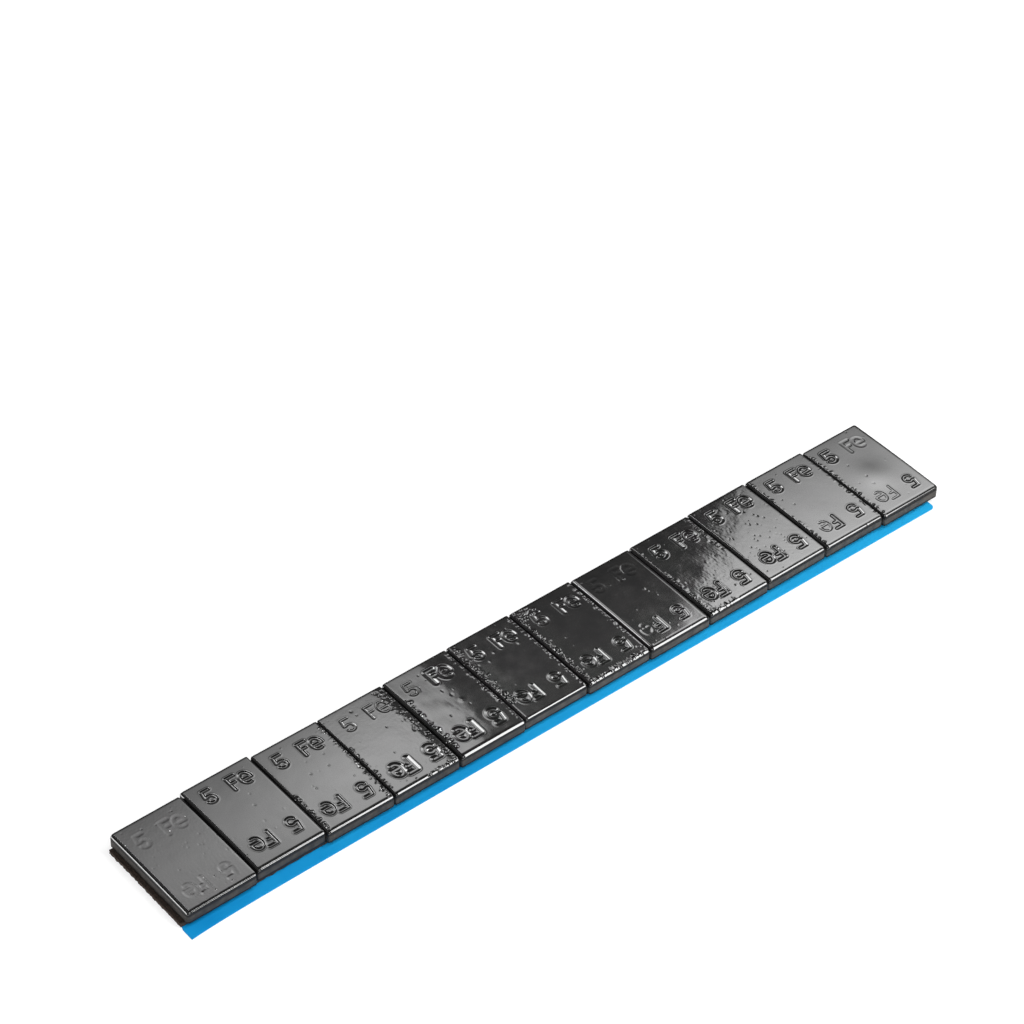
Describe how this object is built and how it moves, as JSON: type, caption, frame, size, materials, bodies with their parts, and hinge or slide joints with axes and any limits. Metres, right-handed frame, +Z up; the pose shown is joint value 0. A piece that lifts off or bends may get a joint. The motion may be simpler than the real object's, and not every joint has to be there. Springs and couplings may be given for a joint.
{
  "type": "wheel balance weight",
  "caption": "Strip of black stick-on steel balance weights on foam tape with a blue release liner, for the inside of a car wheel's rim.",
  "frame": {"origin": "below the middle of the row of weights, on the underside of the release liner", "axes": "+X along the row from the first weight to the last, +Y across it away from the liner's pull margin, +Z up through the tape and the weights"},
  "size_m": [0.1591, 0.023, 0.0033],
  "materials": {
    "weight_paint": "thick glossy black paint over stamped steel",
    "foam_tape": "matt black foam with cut edges",
    "liner_film": "smooth blue film"
  },
  "bodies": {
    "root": {"weight_01": "weight_paint", "weight_02": "weight_paint", "weight_03": "weight_paint", "weight_04": "weight_paint", "weight_05": "weight_paint", "weight_06": "weight_paint", "weight_07": "weight_paint", "weight_08": "weight_paint", "weight_09": "weight_paint", "weight_10": "weight_paint", "weight_11": "weight_paint", "weight_12": "weight_paint", "adhesive_tape": "foam_tape", "release_liner": "liner_film"}
  },
  "joints": []
}
